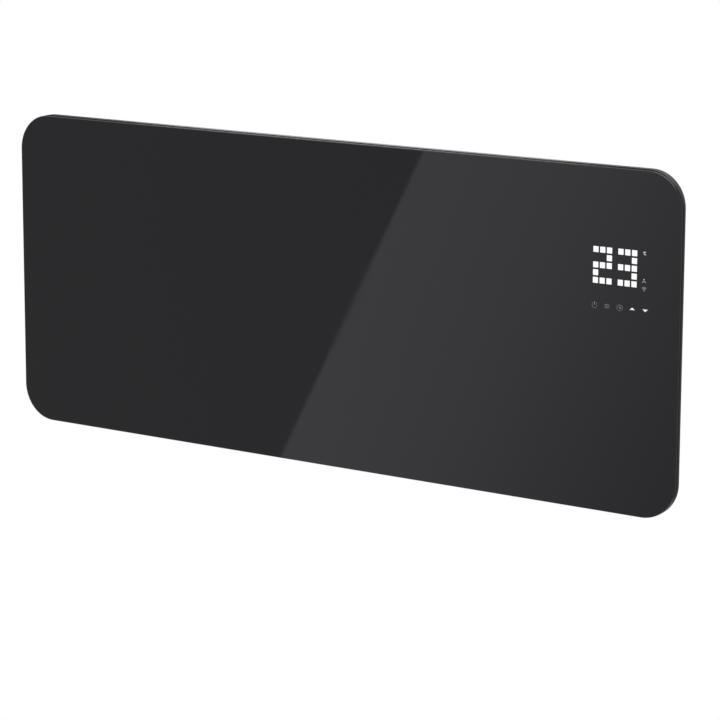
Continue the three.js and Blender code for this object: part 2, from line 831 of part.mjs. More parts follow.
function boxNotches() {
  const depth = [boxBackY - 2 * boxNotch, boxBackY + overrun];
  const leftWall = [boxLeft - overrun, boxLeft + boxWall + overrun];
  const sideNotches = relayShares.map((share) => block(leftWall, depth, around(relayZ(share), boxNotch)));
  const topWall = [boxTop - boxWall - overrun, boxTop + overrun];
  const topNotches = topNotchPlaces().map((x) => block(around(x, boxNotch), depth, topWall));
  const bottomWall = [boxBottom - overrun, boxBottom + boxWall + overrun];
  const cordNotch = block(around(glandX, 2 * boxNotch), depth, bottomWall);
  return [...sideNotches, ...topNotches, cordNotch];
}

function topNotchPlaces() {
  return topNotchShares.map((share) => boxLeft + share * boxWidth);
}

function makeBox() {
  const outer = block([boxLeft, boxRight], [boxFrontY, boxBackY], [boxBottom, boxTop]);
  const hollow = block(
    [boxLeft + boxWall, boxRight - boxWall],
    [boxFrontY + boxWall, boxBackY + overrun],
    [boxBottom + boxWall, boxTop - boxWall],
  );
  const posts = boxPostPlaces().map((place) => {
    return rod('y', boxPostRadius, [boxFrontY + boxWall / 2, boxFrontY + boxWall + boxPost], place);
  });
  const box = solid(outer).subtract(solid(hollow)).subtract(joined(boxNotches())).add(joined(posts));
  addPiece(heaterGroup, 'control_box', geometryOf(box), whitePlastic);
}

function makeLid() {
  const lidDepth = [boxBackY, boxBackY + boxWall];
  const plate = block([boxLeft, boxRight], lidDepth, [boxBottom, boxTop]);
  const inset = boxWall + fitGap;
  const lipDepth = [boxBackY - lidLip, boxBackY + boxWall / 2];
  const lip = block([boxLeft + inset, boxRight - inset], lipDepth, [boxBottom + inset, boxTop - inset]);
  const core = block(
    [boxLeft + inset + boxWall, boxRight - inset - boxWall],
    [boxBackY - lidLip - overrun, boxBackY],
    [boxBottom + inset + boxWall, boxTop - inset - boxWall],
  );
  const skirt = solid(lip).subtract(solid(core));
  addPiece(heaterGroup, 'control_box_lid', geometryOf(solid(plate).add(skirt)), whitePlastic);
}

// A part that stands on the control board
function onBoard(name, [x, z], [width, height, rise], material) {
  const piece = block(around(x, width), [boardBackY, boardBackY + rise], around(z, height));
  addPiece(heaterGroup, name, piece, material);
}

function relayX() {
  return boxLeft + boxWall + relayInset + relayWidth / 2;
}

function relayZ(share) {
  return boxBottom + share * boxHeight;
}

function terminalPlace() {
  const z = boxBottom + boxWall + 2 * boardMargin + terminalHeight / 2 + partSpacing;
  return [glandX, z];
}

function makeBoard() {
  const inset = boxWall + boardMargin;
  const board = block(
    [boxLeft + inset, boxRight - inset],
    [boardBackY - boardSheet, boardBackY],
    [boxBottom + inset, boxTop - inset],
  );
  addPiece(heaterGroup, 'power_board', board, greenBoard);
  const relaySize = [relayWidth, relayHeight, relayRise];
  onBoard('relay_lower', [relayX(), relayZ(relayShares[0])], relaySize, bluePart);
  onBoard('relay_upper', [relayX(), relayZ(relayShares[1])], relaySize, bluePart);
  const nextX = relayX() + relayWidth / 2 + partSpacing + capacitorWidth / 2;
  const middleZ = boxBottom + boxHeight / 2;
  onBoard('filter_capacitor', [nextX, middleZ], [capacitorWidth, capacitorSheet, capacitorRise], blackPart);
  const moduleZ = boxTop - inset - partSpacing - moduleHeight / 2;
  const moduleSize = [moduleWidth, moduleHeight, moduleRise];
  onBoard('wireless_module', [nextX + moduleWidth / 2, moduleZ], moduleSize, zincSteel);
}

function makeTerminals() {
  const [x, z] = terminalPlace();
  const backY = boardBackY + terminalRise;
  const body = block(around(x, terminalWidth), [boardBackY, backY], around(z, terminalHeight));
  const pitch = terminalWidth / terminalPoles;
  const holes = [];
  for (let pole = 0; pole < terminalPoles; pole++) {
    const holeX = x + (pole - (terminalPoles - 1) / 2) * pitch;
    holes.push(rod('y', terminalHoleRadius, [backY - terminalRise / 2, backY + overrun], [holeX, z]));
  }
  addPiece(heaterGroup, 'terminal_block', shaped([body], holes), whitePlastic);
}

// Display: holder in the tray's window, board, light grid and touch pads
function squareAt(half, depth) {
  return block(around(displayX, 2 * half), depth, around(displayZ, 2 * half));
}

function makeHolder() {
  const tube = squareAt(holderHalf, [holderFrontY, holderBackY]);
  const flange = squareAt(windowSize / 2 + holderFlange, [trayBackY, trayBackY + holderSheet]);
  const front = squareAt(boardHalf - holderLedge, [glassBackY - overrun, holderBackY + overrun]);
  const rear = squareAt(boardHalf + fitGap, [displayBoardFrontY, holderBackY + overrun]);
  addPiece(heaterGroup, 'display_holder', shaped([tube, flange], [front, rear]), blackPlastic);
}

function cellCentres() {
  const cells = [];
  for (let digit = 0; digit < digitCount; digit++) {
    for (let column = 0; column < cellColumns; column++) {
      for (let row = 0; row < cellRows; row++) {
        const x = displayX - digitsLeft + digit * digitPitch + column * cellPitch;
        cells.push([x, displayZ + digitsTop - row * cellPitch]);
      }
    }
  }
  return cells;
}

function makeLightGrid() {
  const cells = cellCentres();
  const [firstX, firstZ] = cells[0];
  const [lastX, lastZ] = cells[cells.length - 1];
  const depth = [holderFrontY, displayBoardFrontY];
  const plate = block(
    [firstX - gridReach, lastX + gridReach],
    depth,
    [lastZ - gridReach, firstZ + gridReach],
  );
  const holeDepth = [depth[0] - overrun, depth[1] + overrun];
  const holes = cells.map(([x, z]) => block(around(x, cellSize), holeDepth, around(z, cellSize)));
  addPiece(heaterGroup, 'light_grid', shaped([plate], holes), whitePlastic);
}

function makeTouchPads() {
  keyNames.forEach((key, i) => {
    const place = [displayX - keysLeft + i * keyPitch, displayZ - keysDrop];
    const pad = rod('y', touchPadRadius, [holderFrontY, displayBoardFrontY], place);
    addPiece(heaterGroup, `touch_pad_${key}`, pad, foamPad);
  });
}

function makeDisplay() {
  makeHolder();
  const board = squareAt(boardHalf, [displayBoardFrontY, displayBoardBackY]);
  addPiece(heaterGroup, 'display_board', board, greenBoard);
  makeLightGrid();
  makeTouchPads();
}

// Rocker switch: housing through the side wall, rocker on two pins
function makeSwitchHousing() {
  const [width, length] = switchBodySize();
  const bodyDepthSpan = [switchBackX, switchFaceX - switchFlangeSheet / 2];
  const body = block(bodyDepthSpan, around(bodyMiddleY, width), around(switchZ, length));
  const flangeWidth = width + 2 * switchFlange;
  const flangeLength = length + 2 * switchFlange;
  const flange = block(
    [bodySide, switchFaceX],
    around(bodyMiddleY, flangeWidth),
    around(switchZ, flangeLength),
  );
  const blades = [-1, 1].map((side) => {
    const z = switchZ + side * length * bladeShare;
    const depth = [switchBackX - bladeLength, switchBackX + bladeSheet];
    return block(depth, around(bodyMiddleY, bladeWidth), around(z, bladeSheet));
  });
  const cavity = block(
    [switchBackX + switchFloor, switchFaceX + overrun],
    around(bodyMiddleY, rockerWidth + 2 * runGap),
    around(switchZ, 2 * switchHalfLength()),
  );
  const pinSpan = around(bodyMiddleY, rockerWidth + 2 * (runGap + pivotPinLength));
  const pinHole = rod('y', pivotPinRadius + pivotPinGap, pinSpan, [pivotX, switchZ]);
  const pinLimit = block([switchBackX, switchFaceX], pinSpan, around(switchZ, length));
  const pinRoom = solid(pinHole).intersect(solid(pinLimit));
  const housing = joined([body, flange, ...blades]).subtract(solid(cavity)).subtract(pinRoom);
  addPiece(heaterGroup, 'switch_housing', geometryOf(housing), blackPlastic);
}

// Rocker outline in its own frame: X outwards from the pivot, Z along the rocker
function makeRocker() {
  const outline = new THREE.Shape();
  outline.moveTo(-rockerFoot, -rockerFootHalf);
  outline.lineTo(rockerRise, -rockerHalf);
  outline.lineTo(rockerValley, 0);
  outline.lineTo(rockerRise, rockerHalf);
  outline.lineTo(-rockerFoot, rockerFootHalf);
  const slab = new THREE.ExtrudeGeometry(outline, { depth: rockerWidth, bevelEnabled: false });
  slab.translate(0, 0, -rockerWidth / 2);
  slab.rotateX(Math.PI / 2);
  const pinSpan = around(0, rockerWidth + 2 * (runGap + pivotPinLength) - runGap);
  const pins = rod('y', pivotPinRadius, pinSpan, [0, 0]);
  rockerGroup.position.set(pivotX, bodyMiddleY, switchZ);
  rockerGroup.rotation.y = -rockerTilt;
  addPiece(rockerGroup, 'switch_rocker', shaped([slab, pins]), blackPlastic);
}

// Cord gland and its nut
function makeGland() {
  const place = [glandX, bodyMiddleY];
  const flange = rod('z', glandFlangeRadius, [-bodyTop - glandFlangeLength, -bodyTop], place);
  const neckSpan = [-bodyTop - glandFlangeLength / 2, -bodyTop + glandNeckLength];
  const neck = rod('z', glandNeckRadius, neckSpan, place);
  const boreSpan = [-bodyTop - glandFlangeLength - overrun, -bodyTop + glandNeckLength + overrun];
  const bore = rod('z', glandBoreRadius, boreSpan, place);
  addPiece(heaterGroup, 'cord_gland', shaped([flange, neck], [bore]), blackPlastic);
  const nutSpan = [-innerTop, glandNutLength - innerTop];
  const nut = rod('z', glandNutRadius, nutSpan, place, nutSides);
  const nutBore = rod('z', glandNeckRadius + fitGap, [nutSpan[0] - overrun, nutSpan[1] + overrun], place);
  addPiece(heaterGroup, 'gland_nut', shaped([nut], [nutBore]), blackPlastic);
}

// A route with a round bend at each of its inner points
function bentRoute(points) {
  const corners = points.map((point) => new THREE.Vector3(...point));
  const route = [corners[0]];
  for (let i = 1; i < corners.length - 1; i++) {
    for (const neighbour of [corners[i - 1], corners[i + 1]]) {
      const step = neighbour.clone().sub(corners[i]);
      route.push(step.setLength(Math.min(wireBend, step.length() * bendShare)).add(corners[i]));
    }
  }
  route.push(corners[corners.length - 1]);
  return new THREE.CatmullRomCurve3(route, false, 'centripetal');
}

// Wires, each a tube along its bent route
function makeWire(name, points, radius, material) {
  const line = bentRoute(points);
  const section = new THREE.Shape();
  for (let side = 0; side < wireSides; side++) {
    const angle = side / wireSides * 2 * Math.PI;
    const x = radius * Math.cos(angle);
    const y = radius * Math.sin(angle);
    if (side === 0) section.moveTo(x, y);
    else section.lineTo(x, y);
  }
  const settings = { steps: wireSteps, extrudePath: line, bevelEnabled: false };
  addPiece(heaterGroup, name, new THREE.ExtrudeGeometry(section, settings), material);
}

function makeElementWires() {
  const blade = bladeEndX(carrierRightX, 1) + fitGap;
  const relaySide = relayX() - relayWidth / 2 - fitGap;
  const relayY = boardBackY + relayRise - 2 * wireRadius;
  [['lower', elementLowerZ], ['upper', elementUpperZ]].forEach(([level, z], i) => {
    const endZ = relayZ(relayShares[i]);
    const points = [
      [blade, elementY, z],
      [blade + wireRun / 2, elementY, z],
      [boxLeft - wireRun / 4, elementY, endZ],
      [boxLeft + boxWall + wireRun / 4, elementY, endZ],
      [relaySide - wireRun / 2, relayY, endZ],
      [relaySide, relayY, endZ],
    ];
    makeWire(`wire_element_${level}`, points, wireRadius, redWire);
  });
}

// The left ends are linked and return over the cut-out and the fuse to the box
function makeReturnWires() {
  const blade = bladeEndX(carrierLeftX, -1) - fitGap;
  const outer = blade - wireRun;
  const upper = elementUpperZ + bladeSheet + wireRadius;
  const lower = elementUpperZ - bladeSheet - wireRadius;
  makeWire('wire_left_link', [
    [blade, elementY, elementLowerZ],
    [outer, elementY, elementLowerZ + wireRun],
    [outer, elementY, lower - wireRun],
    [blade, elementY, lower],
  ], wireRadius, whiteWire);
  const cutoutY = shieldBackY + cutoutHeight / 2;
  const cutoutEnd = cutoutPlate / 2 + fitGap;
  makeWire('wire_return', [
    [blade, elementY, upper],
    [outer, elementY, upper + wireRun],
    [outer, elementY, cutoutZ - wireRun],
    [carrierLeftX, cutoutY, cutoutZ],
    [cutoutX - cutoutEnd - wireRun, cutoutY, cutoutZ],
    [cutoutX - cutoutEnd, cutoutY, cutoutZ],
  ], wireRadius, whiteWire);
  const fuseEnd = fuseLength / 2 + fuseLeadLength + fitGap;
  makeWire('wire_cutout_to_fuse', [
    [cutoutX + cutoutEnd, cutoutY, cutoutZ],
    [cutoutX + cutoutEnd + wireRun, cutoutY, cutoutZ],
    [fuseX - fuseEnd - wireRun, fuseY(), cutoutZ],
    [fuseX - fuseEnd, fuseY(), cutoutZ],
  ], wireRadius, whiteWire);
  const notchX = topNotchPlaces()[0];
  const notchY = boxBackY - boxNotch;
  makeWire('wire_fuse_to_box', [
    [fuseX + fuseEnd, fuseY(), cutoutZ],
    [fuseX + fuseEnd + wireRun, fuseY(), cutoutZ],
    [notchX, notchY, boxTop + 2 * wireRun],
    [notchX, notchY, boxTop + wireRun],
    [notchX, notchY, boxTop - wireRun],
  ], wireRadius, whiteWire);
}

function makeSwitchWires() {
  const [, length] = switchBodySize();
  const bladeX = switchBackX - bladeLength - fitGap;
  const notchX = topNotchPlaces()[2];
  const notchY = boxBackY - boxNotch;
  [['in', -1], ['out', 1]].forEach(([way, side]) => {
    const bladeZ = switchZ + side * length * bladeShare;
    const laneX = notchX - side * (wireRadius + fitGap);
    const turnX = bladeX - wireRun * (1 + side / 2);
    makeWire(`wire_switch_${way}`, [
      [bladeX, bodyMiddleY, bladeZ],
      [turnX, bodyMiddleY, bladeZ],
      [laneX, notchY, boxTop + wireRun],
      [laneX, notchY, boxTop - wireRun],
    ], wireRadius, redWire);
  });
}

function makeDisplayCable() {
  const notchX = topNotchPlaces()[1];
  const notchY = boxBackY - boxNotch;
  const startX = displayX - boardHalf / 2;
  const startY = displayBoardBackY + fitGap;
  makeWire('display_cable', [
    [startX, startY, displayZ - boardHalf / 2],
    [startX, startY + wireRun, displayZ - boardHalf / 2],
    [notchX, notchY, boxTop + 2 * wireRun],
    [notchX, notchY, boxTop - wireRun],
  ], cableRadius, blackPlastic);
}

function makeEarth() {
  const place = earthPlace();
  const bossBackY = trayBackY + earthScrewLength;
  const shank = rod('y', earthScrewRadius, [trayBackY + fitGap, bossBackY + earthHeadHeight / 2], place);
  const head = rod('y', earthHeadRadius, [bossBackY, bossBackY + earthHeadHeight], place);
  addPiece(heaterGroup, 'earth_screw', shaped([shank, head]), zincSteel);
  const [terminalX, terminalZ] = terminalPlace();
  const terminalY = boardBackY + terminalRise / 2;
  const terminalBottom = terminalZ - terminalHeight / 2;
  const startX = place[0] + earthHeadRadius + fitGap;
  const startY = bossBackY + earthHeadHeight / 2;
  makeWire('wire_earth', [
    [startX, startY, place[1]],
    [startX + wireRun, startY, place[1]],
    [glandX, boxBackY - boxNotch, boxBottom - wireRun],
    [glandX, boxBackY - boxNotch, boxBottom + boxWall],
    [terminalX, terminalY, terminalBottom - wireRun / 2],
    [terminalX, terminalY, terminalBottom - fitGap],
  ], wireRadius, earthWire);
}

makeGlass();
makeBead();
makeTray();
makeShield();
makeElements();
makeCutout();
makeFuse();
makeSensor();
makeBox();
makeLid();
makeBoard();
makeTerminals();
makeDisplay();
makeSwitchHousing();
makeRocker();
makeRearCover();
makeGrille();
makeCoverScrews();
makeGland();
makeElementWires();
makeReturnWires();
makeSwitchWires();
makeDisplayCable();
makeEarth();
makeBracket();

export default model;
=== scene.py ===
import json
import math

import bmesh
import bpy
from mathutils import Matrix, Vector

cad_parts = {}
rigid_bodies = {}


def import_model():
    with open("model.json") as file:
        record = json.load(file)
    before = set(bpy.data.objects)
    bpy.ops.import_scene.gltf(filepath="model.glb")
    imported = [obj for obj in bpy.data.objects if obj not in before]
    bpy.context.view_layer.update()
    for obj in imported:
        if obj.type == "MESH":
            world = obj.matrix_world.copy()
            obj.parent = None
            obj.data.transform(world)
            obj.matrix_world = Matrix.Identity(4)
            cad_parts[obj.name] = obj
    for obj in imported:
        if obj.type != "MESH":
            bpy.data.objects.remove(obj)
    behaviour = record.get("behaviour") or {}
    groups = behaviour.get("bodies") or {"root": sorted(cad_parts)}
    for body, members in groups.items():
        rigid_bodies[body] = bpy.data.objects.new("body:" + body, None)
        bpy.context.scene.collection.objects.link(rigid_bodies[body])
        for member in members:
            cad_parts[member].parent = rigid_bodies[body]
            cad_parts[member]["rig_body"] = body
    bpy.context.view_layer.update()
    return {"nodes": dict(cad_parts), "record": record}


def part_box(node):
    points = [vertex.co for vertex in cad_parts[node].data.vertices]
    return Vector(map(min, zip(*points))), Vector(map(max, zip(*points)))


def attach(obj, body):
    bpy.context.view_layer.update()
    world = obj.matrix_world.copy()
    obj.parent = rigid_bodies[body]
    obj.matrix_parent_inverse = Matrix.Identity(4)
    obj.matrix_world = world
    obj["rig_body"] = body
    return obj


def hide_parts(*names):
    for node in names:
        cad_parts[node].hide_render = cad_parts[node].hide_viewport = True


# A wall-hung glass panel heater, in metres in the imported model's frame: +X to the right as
# seen from the front, +Y into the wall, +Z up.

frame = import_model()
nodes = frame["nodes"]
record = frame["record"]
scene = bpy.context.scene

MM = 0.001
FULL_TURN = 2 * math.pi


# ---------------------------------------------------------------- material helpers

# Sockets of a Mix node that mixes colours
MIX_SHARE, MIX_FIRST, MIX_SECOND, MIX_RESULT = 0, 6, 7, 2


def rgba(value):
    """A grey level or a colour, as four numbers."""
    if isinstance(value, (int, float)):
        return (value, value, value, 1.0)
    return (*value, 1.0)


class Nodes:
    """A node tree with short calls for its nodes and links."""

    def __init__(self, tree):
        self.tree = tree
        tree.nodes.clear()

    def feed(self, socket, value):
        """Link the socket where value is another node's output, and otherwise set it."""
        if isinstance(value, bpy.types.NodeSocket):
            self.tree.links.new(value, socket)
        elif socket.type == "RGBA":
            socket.default_value = rgba(value)
        else:
            socket.default_value = value

    def add(self, kind, inputs=None, **settings):
        node = self.tree.nodes.new(kind)
        for key, value in settings.items():
            setattr(node, key, value)
        for key, value in (inputs or {}).items():
            self.feed(node.inputs[key], value)
        return node

    def math(self, operation, first, second, clamp=False):
        inputs = {0: first, 1: second}
        return self.add("ShaderNodeMath", inputs, operation=operation, use_clamp=clamp).outputs[0]

    def vector(self, operation, *vectors):
        inputs = dict(enumerate(vectors))
        return self.add("ShaderNodeVectorMath", inputs, operation=operation).outputs

    def mapped(self, value, low, high, to_low=0.0, to_high=1.0, smooth=False):
        kind = "SMOOTHSTEP" if smooth else "LINEAR"
        inputs = {
            "Value": value,
            "From Min": low,
            "From Max": high,
            "To Min": to_low,
            "To Max": to_high,
        }
        return self.add("ShaderNodeMapRange", inputs, interpolation_type=kind).outputs["Result"]

    def mixed(self, share, first, second):
        """The first colour where share is 0, and the second where it is 1."""
        inputs = {MIX_SHARE: share, MIX_FIRST: first, MIX_SECOND: second}
        return self.add("ShaderNodeMix", inputs, data_type="RGBA").outputs[MIX_RESULT]

    def weighted(self, first, share, second):
        """The first value by its share, and the second by what is left."""
        parts = [self.math("MULTIPLY", first, share), self.math("MULTIPLY", second, 1.0 - share)]
        return self.math("ADD", *parts)

    def ray_share(self, *kinds):
        """1 for rays of any of these kinds, otherwise 0."""
        rays = self.add("ShaderNodeLightPath")
        share = rays.outputs[kinds[0]]
        for kind in kinds[1:]:
            share = self.math("ADD", share, rays.outputs[kind], clamp=True)
        return share

    def shining(self, kind, color, strength=1.0):
        return self.add(kind, {"Color": color, "Strength": strength}).outputs[0]

    def blended(self, share, first, second):
        """The first shader where share is 0, and the second where it is 1."""
        return self.add("ShaderNodeMixShader", {0: share, 1: first, 2: second}).outputs[0]


class Surface(Nodes):
    """A material with one Principled shader, placed by the object's own coordinates."""

    def __init__(self, name):
        self.material = bpy.data.materials.new(name)
        self.material.use_nodes = True
        super().__init__(self.material.node_tree)
        self.shader = self.add("ShaderNodeBsdfPrincipled")
        self.output = self.add("ShaderNodeOutputMaterial", {"Surface": self.shader.outputs[0]})
        self.place = self.add("ShaderNodeTexCoord").outputs["Object"]

    def give(self, socket, value):
        self.feed(self.shader.inputs[socket], value)

    def noise(self, scale, detail=2.0, stretch=None):
        place = self.place
        if stretch:
            place = self.add("ShaderNodeMapping", {"Vector": place, "Scale": stretch}).outputs[0]
        inputs = {"Vector": place, "Scale": scale, "Detail": detail}
        return self.add("ShaderNodeTexNoise", inputs).outputs["Fac"]

    def bump(self, height, strength, distance):
        inputs = {"Height": height, "Strength": strength, "Distance": distance}
        self.give("Normal", self.add("ShaderNodeBump", inputs).outputs["Normal"])


# ---------------------------------------------------------------- materials
# Colours are linear, texture scales are per metre and bump distances are in metres.

# Where most of a noise texture's values lie
NOISE_SPAN = (0.3, 0.7)

# Surfaces: scale of the slow drift, the fine grain's share beside it, and the values of both
# between which the colour goes from dark to light
DRIFT_SCALE, GRAIN_SHARE, COLOUR_SPAN = 9.0, 0.65, (0.32, 0.68)

# Powder coats: scale of the slow drift, how much finer the second grain is, the height of the
# rounded grains, the second grain's part in the drift, and the drift's span from dark to light
COAT_DRIFT_SCALE, COAT_FINER, COAT_ROUNDS = 7.0, 2.3, -0.8
COAT_FINE_PART, COAT_SPAN, COAT_STRENGTH = 0.6, (0.55, 1.05), 0.55


def surface(name, dark, light, grain, rough, bump, metallic=0.0, stretch=None):
    """A surface whose colour and roughness vary with a fine grain and a slow drift.

    dark and light are the colour's ends, grain is a scale, rough is (low, high) and bump is
    (scale, strength, distance).
    """
    look = Surface(name)
    fine = look.noise(grain, detail=4.0, stretch=stretch)
    both = look.weighted(fine, GRAIN_SHARE, look.noise(DRIFT_SCALE))
    look.give("Base Color", look.mixed(look.mapped(both, *COLOUR_SPAN), dark, light))
    look.give("Roughness", look.mapped(both, *NOISE_SPAN, *rough))
    look.give("Metallic", metallic)
    scale, strength, distance = bump
    look.bump(look.noise(scale, stretch=stretch), strength, distance)
    return look.material


def powder_coat(name, dark, light, rough, pitch, depth):
    """Textured paint: rounded grains with a finer grain over them."""
    look = Surface(name)
    cell_inputs = {"Vector": look.place, "Scale": pitch}
    cells = look.add("ShaderNodeTexVoronoi", cell_inputs, feature="SMOOTH_F1")
    fine = look.noise(pitch * COAT_FINER, detail=3.0)
    fine_part = look.math("MULTIPLY", fine, COAT_FINE_PART)
    drift = look.math("ADD", look.noise(COAT_DRIFT_SCALE), fine_part)
    look.give("Base Color", look.mixed(look.mapped(drift, *COAT_SPAN), dark, light))
    look.give("Roughness", look.mapped(fine, *NOISE_SPAN, *rough))
    rounds = look.math("MULTIPLY", cells.outputs["Distance"], COAT_ROUNDS)
    look.bump(look.math("ADD", rounds, fine), COAT_STRENGTH, depth)
    return look.material


def zinc(name):
    """Zinc-plated sheet with faint crystal patches and rolling lines."""
    look = Surface(name)
    cells = look.add("ShaderNodeTexVoronoi", {"Vector": look.place, "Scale": 160.0})
    patch = look.add("ShaderNodeSeparateColor", {0: cells.outputs["Color"]}).outputs[0]
    lines = look.noise(scale=420.0, stretch=(0.03, 1.0, 1.0))
    both = look.weighted(patch, 0.45, lines)
    look.give("Base Color", look.mixed(both, (0.42, 0.43, 0.45), (0.62, 0.63, 0.65)))
    look.give("Roughness", look.mapped(both, 0.2, 0.8, to_low=0.28, to_high=0.46))
    look.give("Metallic", 1.0)
    look.bump(lines, strength=0.2, distance=0.0002)
    return look.material


def circuit_board(name):
    """Solder mask over copper tracks, with a fine weave under it."""
    look = Surface(name)
    upright = {"Vector": look.place, "Rotation": (math.pi / 2, 0, 0)}
    track_inputs = {
        "Vector": look.add("ShaderNodeMapping", upright).outputs[0],
        "Scale": 90.0,
        "Mortar Size": 0.06,
        "Color1": 0.0,
        "Color2": 0.25,
        "Mortar": 1.0,
    }
    tracks = look.add("ShaderNodeTexBrick", track_inputs).outputs["Color"]
    weave = look.noise(scale=900.0, detail=1.0)
    mask = look.mixed(weave, (0.008, 0.055, 0.02), (0.012, 0.075, 0.03))
    look.give("Base Color", look.mixed(tracks, mask, (0.03, 0.14, 0.06)))
    look.give("Roughness", look.mapped(weave, *NOISE_SPAN, to_low=0.22, to_high=0.34))
    look.bump(tracks, strength=0.3, distance=0.0001)
    return look.material


def glowing(name, level, drift=0.03):
    """A sign under the glass that shines at a set level. For the number's cells this is the
    display's light; for the printed grey signs the glow is painted light. Its light varies a
    little over the surface.
    """
    look = Surface(name)
    brightest = min(1.0, level * (1 + drift))
    light = look.mixed(look.noise(scale=260.0), level * (1 - drift), brightest)
    look.give("Emission Color", light)
    look.give("Emission Strength", 1.0)
    look.give("Base Color", 0.0027)
    look.give("Roughness", 0.05)
    return look.material


def glass_front(name):
    """Black-printed glass: a mirror-smooth face with faint wiping marks in its gloss."""
    look = Surface(name)
    slow = look.noise(scale=3.0, detail=3.0)
    print_grain = look.noise(scale=1400.0, detail=1.0)
    both = look.weighted(slow, 0.6, print_grain)
    look.give("Base Color", look.mixed(both, (0.0022, 0.0022, 0.0040), (0.0027, 0.0027, 0.0046)))
    wiped = look.noise(scale=5.0, detail=4.0, stretch=(0.4, 1.0, 1.6))
    look.give("Roughness", look.mapped(wiped, 0.35, 0.7, to_low=0.010, to_high=0.022))
    return look.material


def glass_edge(name):
    """Polished edge of the black-printed glass, with a faint grind left in it."""
    look = Surface(name)
    grind = look.noise(scale=700.0, detail=3.0)
    look.give("Base Color", look.mixed(grind, (0.011, 0.0113, 0.0117), (0.018, 0.0185, 0.019)))
    look.give("Roughness", look.mapped(grind, *NOISE_SPAN, to_low=0.09, to_high=0.15))
    look.give("Specular IOR Level", 0.46)
    return look.material


# Name: dark colour, light colour, grain, roughness, bump, and for metals metallic and stretch
SURFACES = {
    "silicone": (0.012, 0.022, 300.0, (0.5, 0.65), (240.0, 0.3, 0.0004)),
    "rim_paint": ((0.056, 0.056, 0.057), (0.070, 0.070, 0.071), 900.0, (0.36, 0.46),
                  (1500.0, 0.12, 0.0001)),
    "aluminium": ((0.58, 0.59, 0.60), (0.74, 0.75, 0.76), 260.0, (0.26, 0.4),
                  (420.0, 0.2, 0.0002), 1.0, (0.04, 1.0, 1.0)),
    "sheath_steel": ((0.12, 0.10, 0.085), (0.24, 0.22, 0.20), 180.0, (0.4, 0.58),
                     (500.0, 0.15, 0.0002), 1.0),
    "ceramic": ((0.66, 0.63, 0.56), (0.76, 0.74, 0.68), 500.0, (0.5, 0.66),
                (900.0, 0.25, 0.0002)),
    "black_plastic": ((0.016, 0.016, 0.017), (0.028, 0.028, 0.029), 700.0, (0.38, 0.5),
                      (1300.0, 0.3, 0.00015)),
    "rocker_plastic": ((0.012, 0.012, 0.013), (0.019, 0.019, 0.020), 500.0, (0.18, 0.28),
                       (900.0, 0.08, 0.0001)),
    "white_plastic": ((0.60, 0.59, 0.55), (0.70, 0.69, 0.65), 400.0, (0.36, 0.5),
                      (800.0, 0.2, 0.0002)),
    "black_part": (0.018, 0.030, 500.0, (0.34, 0.48), (900.0, 0.25, 0.0002)),
    "blue_part": ((0.02, 0.06, 0.28), (0.03, 0.085, 0.36), 400.0, (0.3, 0.42),
                  (800.0, 0.2, 0.0002)),
    "foam_pad": (0.03, 0.07, 1600.0, (0.75, 0.9), (1800.0, 0.8, 0.0005)),
    "red_wire": ((0.30, 0.012, 0.010), (0.42, 0.022, 0.016), 300.0, (0.38, 0.5),
                 (600.0, 0.15, 0.0002)),
    "white_wire": ((0.56, 0.55, 0.51), (0.68, 0.67, 0.62), 300.0, (0.4, 0.52),
                   (600.0, 0.15, 0.0002)),
    "earth_wire": ((0.12, 0.26, 0.02), (0.42, 0.44, 0.03), 60.0, (0.4, 0.52),
                   (600.0, 0.15, 0.0002)),
    "mark_white": (0.62, 0.74, 700.0, (0.4, 0.5), (900.0, 0.1, 0.0001)),
}
# Name: dark colour, light colour, roughness, rounded grains per metre, bump distance
POWDER_COATS = {
    "cover_paint": ((0.030, 0.031, 0.033), (0.046, 0.047, 0.050), (0.5, 0.66), 850.0, 0.00022),
    "bracket_paint": ((0.024, 0.025, 0.027), (0.040, 0.041, 0.044), (0.48, 0.62), 1000.0, 0.0002),
}
# Name: level of light, and its drift over the surface where that isn't the usual one
SIGN_LIGHTS = {
    "cell_light": (1.0, 0.01),
    "sign_bright": (0.86,),
    # sign_mid, sign_line and sign_grey are printed signs: their glow is painted light
    "sign_mid": (0.6,),
    "sign_line": (0.44,),
    "sign_grey": (0.30,),
}

MATERIALS = {
    "black_glass": glass_front("black_glass"),
    "glass_edge": glass_edge("glass_edge"),
    "zinc_steel": zinc("zinc_steel"),
    "board_green": circuit_board("board_green"),
    **{name: surface(name, *values) for name, values in SURFACES.items()},
    **{name: powder_coat(name, *values) for name, values in POWDER_COATS.items()},
    **{name: glowing(name, *values) for name, values in SIGN_LIGHTS.items()},
}


# ---------------------------------------------------------------- shape helpers

# Angles in degrees: faces that meet at less are shaded smooth, edges that bend by more get a
# round, and faces that bend by less are joined into one
SMOOTH_BELOW, ROUND_ABOVE, FLAT_WITHIN = 35.0, 28.0, 0.8
ROUND_STEPS = 2
SAME_POINT = 1e-6
FACING = 0.999


def join_loops(shape, loops):
    """Quads between neighbouring loops of corners."""
    for low, high in zip(loops, loops[1:]):
        for i in range(len(low)):
            j = (i + 1) % len(low)
            shape.faces.new((low[i], high[i], high[j], low[j]))


def mesh_of(name, shape):
    bmesh.ops.recalc_face_normals(shape, faces=shape.faces)
    mesh = bpy.data.meshes.new(name)
    shape.to_mesh(mesh)
    shape.free()
    return mesh


def closed_mesh(name, stacks):
    """Closed solids with flat ends, each from a stack of loops of points."""
    shape = bmesh.new()
    for stack in stacks:
        loops = [[shape.verts.new(point) for point in points] for points in stack]
        join_loops(shape, loops)
        shape.faces.new(loops[0])
        shape.faces.new(list(reversed(loops[-1])))
    return mesh_of(name, shape)


def prisms(name, outlines, front, back):
    """Thin plates from closed outlines of (x, z) in millimetres, between two y planes."""
    return closed_mesh(name, [
        [[(x * MM, y, z * MM) for x, z in outline] for y in (front, back)] for outline in outlines
    ])


